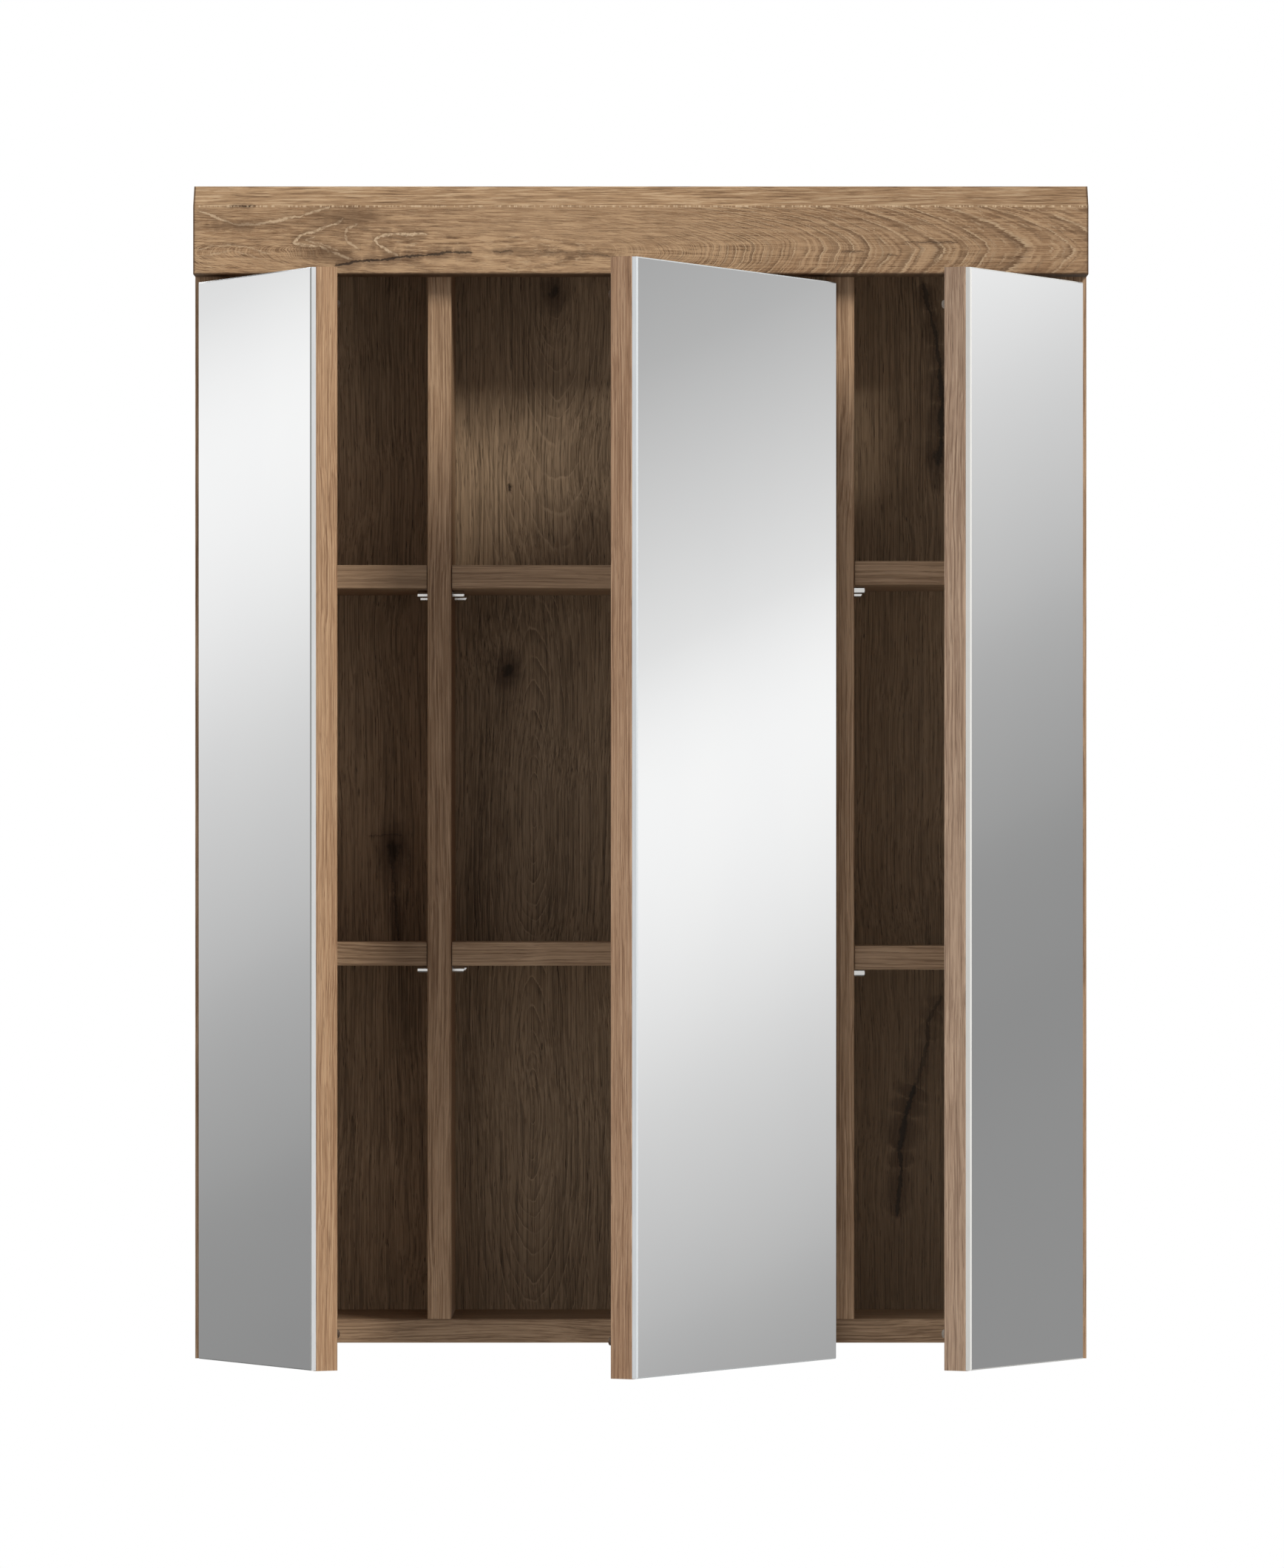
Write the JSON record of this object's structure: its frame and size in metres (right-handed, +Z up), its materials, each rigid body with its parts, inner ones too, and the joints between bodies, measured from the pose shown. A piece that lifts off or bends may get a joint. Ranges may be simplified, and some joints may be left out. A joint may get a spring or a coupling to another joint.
{
  "type": "mirror cabinet",
  "caption": "Wide wall cabinet with mirror-faced doors on concealed hinges, standing open, over shelved columns, with a bevelled crown board across the top.",
  "frame": {"origin": "in the wall plane, halfway between the centres of the two wall bracket slots", "axes": "+X to the right as seen from the front, +Y into the wall, +Z up; the doors face -Y"},
  "size_m": [0.6, 0.3866, 0.788],
  "materials": {
    "carcass_board": "matt oak-grain veneer",
    "crown_board": "matt oak-grain veneer, grain along the length",
    "shelf_board": "matt oak-grain veneer, grain along the length",
    "door_board": "matt oak-grain veneer",
    "back_board": "matt oak-grain foil",
    "dowel_wood": "plain beech",
    "mirror_glass": "silvered float glass with ground edges",
    "hinge_steel": "nickel plated",
    "pin_steel": "nickel plated",
    "screw_steel": "zinc plated",
    "bracket_steel": "zinc plated",
    "clear_plastic": "soft translucent buffer",
    "cap_plastic": "matt moulded"
  },
  "bodies": {
    "cabinet": {"left_side_panel": "carcass_board", "right_side_panel": "carcass_board", "top_panel": "carcass_board", "bottom_panel": "carcass_board", "left_divider": "carcass_board", "right_divider": "carcass_board", "back_panel": "back_board", "crown": "crown_board", "carcass_dowels": "dowel_wood", "left_upper_shelf": "shelf_board", "left_lower_shelf": "shelf_board", "middle_upper_shelf": "shelf_board", "middle_lower_shelf": "shelf_board", "right_upper_shelf": "shelf_board", "right_lower_shelf": "shelf_board", "left_shelf_pins": "pin_steel", "middle_shelf_pins": "pin_steel", "right_shelf_pins": "pin_steel", "left_hinge_plates": "hinge_steel", "middle_hinge_plates": "hinge_steel", "right_hinge_plates": "hinge_steel", "left_hinge_arms": "hinge_steel", "middle_hinge_arms": "hinge_steel", "right_hinge_arms": "hinge_steel", "left_arm_pins": "pin_steel", "middle_arm_pins": "pin_steel", "right_arm_pins": "pin_steel", "plate_screws": "screw_steel", "arm_screws": "screw_steel", "left_wall_bracket": "bracket_steel", "right_wall_bracket": "bracket_steel", "bracket_screws": "screw_steel", "access_caps": "cap_plastic"},
    "left_hinge_links": {"left_hinge_links": "hinge_steel"},
    "left_door": {"left_door_board": "door_board", "left_mirror": "mirror_glass", "left_door_buffers": "clear_plastic", "left_hinge_cups": "hinge_steel", "left_cup_pins": "pin_steel", "left_cup_screws": "screw_steel"},
    "middle_hinge_links": {"middle_hinge_links": "hinge_steel"},
    "middle_door": {"middle_door_board": "door_board", "middle_mirror": "mirror_glass", "middle_door_buffers": "clear_plastic", "middle_hinge_cups": "hinge_steel", "middle_cup_pins": "pin_steel", "middle_cup_screws": "screw_steel"},
    "right_hinge_links": {"right_hinge_links": "hinge_steel"},
    "right_door": {"right_door_board": "door_board", "right_mirror": "mirror_glass", "right_door_buffers": "clear_plastic", "right_hinge_cups": "hinge_steel", "right_cup_pins": "pin_steel", "right_cup_screws": "screw_steel"}
  },
  "joints": [
    {"name": "left_hinge_links", "type": "hinge", "parent": "cabinet", "child": "left_hinge_links", "pos_m": [-0.27, -0.12, 0], "axis": [0, 0, -1], "range_deg": [-10.51, 18.01]},
    {"name": "left_door", "type": "hinge", "parent": "left_hinge_links", "child": "left_door", "pos_m": [-0.27982, -0.15579, 0], "axis": [0, 0, -1], "range_deg": [-78, 45.5]},
    {"name": "middle_hinge_links", "type": "hinge", "parent": "cabinet", "child": "middle_hinge_links", "pos_m": [0.10415, -0.12, 0], "axis": [0, 0, 1], "range_deg": [-10.51, 18.01]},
    {"name": "middle_door", "type": "hinge", "parent": "middle_hinge_links", "child": "middle_door", "pos_m": [0.11397, -0.15579, 0], "axis": [0, 0, 1], "range_deg": [-78, 45.5]},
    {"name": "right_hinge_links", "type": "hinge", "parent": "cabinet", "child": "right_hinge_links", "pos_m": [0.27, -0.12, 0], "axis": [0, 0, 1], "range_deg": [-10.51, 18.01]},
    {"name": "right_door", "type": "hinge", "parent": "right_hinge_links", "child": "right_door", "pos_m": [0.27982, -0.15579, 0], "axis": [0, 0, 1], "range_deg": [-78, 45.5]}
  ],
  "couplings": [
    {"joint": "left_hinge_links", "follows": "left_door", "ratio": -0.23077},
    {"joint": "middle_hinge_links", "follows": "middle_door", "ratio": -0.23077},
    {"joint": "right_hinge_links", "follows": "right_door", "ratio": -0.23077}
  ]
}
